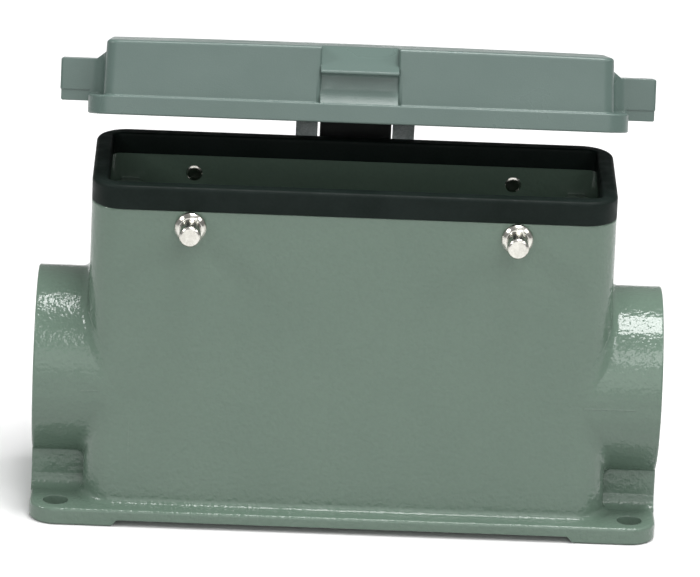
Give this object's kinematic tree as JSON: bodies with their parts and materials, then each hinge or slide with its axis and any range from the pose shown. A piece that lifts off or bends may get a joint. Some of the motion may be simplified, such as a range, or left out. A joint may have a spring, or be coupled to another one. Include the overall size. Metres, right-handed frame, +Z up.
{
  "type": "rectangular connector housing",
  "caption": "Surface-mounting housing of a heavy duty rectangular connector, with side cable entries, locking pegs, rim gasket and a hinged protective cover.",
  "frame": {"origin": "centre of the base underside, midway between the base fixing holes", "axes": "+X along the length through the cable entries, front toward -Y, hinge at +Y, +Z up out of the mouth"},
  "size_m": [0.1446, 0.0676, 0.1117],
  "materials": {
    "housing_paint": "hammered gloss grey-green enamel on die-cast aluminium",
    "gasket_rubber": "smooth black elastomer",
    "cover_plastic": "satin grained grey-green moulding",
    "black_plastic": "satin black moulding",
    "zinc_steel": "bright zinc plated steel",
    "nickel_steel": "nickel plated steel"
  },
  "bodies": {
    "housing": {"housing": "housing_paint", "rim_gasket": "gasket_rubber", "peg_front_left": "nickel_steel", "peg_front_right": "nickel_steel", "peg_rear_left": "nickel_steel", "peg_rear_right": "nickel_steel", "hinge_bracket": "zinc_steel", "bracket_screws": "zinc_steel", "hinge_pin": "zinc_steel", "pin_clip": "zinc_steel"},
    "cover": {"cover": "cover_plastic", "hinge_stirrup": "zinc_steel", "hinge_block": "black_plastic", "hinge_rivets": "nickel_steel"}
  },
  "joints": [
    {"name": "cover_hinge", "type": "hinge", "parent": "housing", "child": "cover", "pos_m": [0, 0.034, 0.065], "axis": [-1, 0, 0], "range_deg": [-16, 95]}
  ]
}
